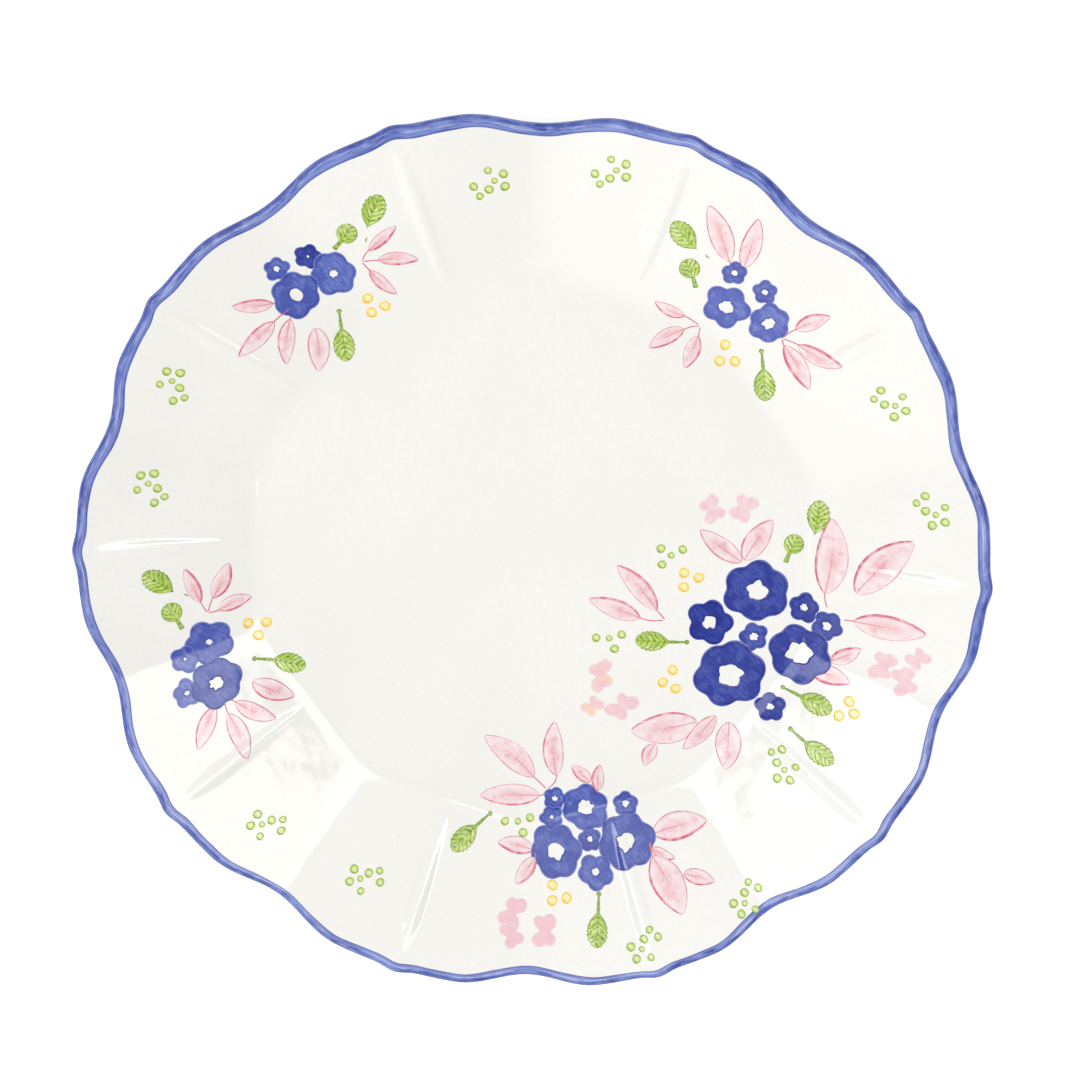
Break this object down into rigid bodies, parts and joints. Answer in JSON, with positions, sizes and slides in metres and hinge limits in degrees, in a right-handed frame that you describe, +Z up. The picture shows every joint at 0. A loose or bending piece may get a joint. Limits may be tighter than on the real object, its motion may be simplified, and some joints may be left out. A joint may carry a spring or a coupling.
{
  "type": "dinner plate",
  "caption": "Scalloped china dinner plate with a flat well, faceted and ribbed rim, blue painted edge band and hand-painted flower sprays on a clear glaze.",
  "frame": {"origin": "middle of the foot ring, on the surface that the plate stands on", "axes": "+Z up out of the well; +Y towards the edge between the two small upper sprays; +X to the right of that, seen from above"},
  "size_m": [0.2732, 0.2677, 0.0263],
  "materials": {
    "bare_clay": "unglazed fired clay, fine matt grain, showing only on the foot ring's face",
    "clear_glaze": "glossy warm white glaze with very fine specks",
    "band_blue": "glossy brushed cobalt blue with lighter and darker streaks",
    "flower_blue": "glossy cobalt blue, darker where the colour pooled at the petal edges",
    "leaf_pink": "glossy pale rose wash with a darker outline and veins",
    "leaf_green": "glossy yellow green wash with darker veins",
    "blossom_pink": "glossy very pale pink sponge print",
    "berry_yellow": "glossy lemon yellow dots with a darker ring",
    "berry_green": "glossy green dots with a darker ring"
  },
  "bodies": {
    "root": {"clay_body": "bare_clay", "glaze_coat": "clear_glaze", "rim_edge_band": "band_blue", "blue_flowers": "flower_blue", "pink_leaves": "leaf_pink", "green_leaves": "leaf_green", "pink_blossoms": "blossom_pink", "yellow_berries": "berry_yellow", "green_berries": "berry_green"}
  },
  "joints": []
}
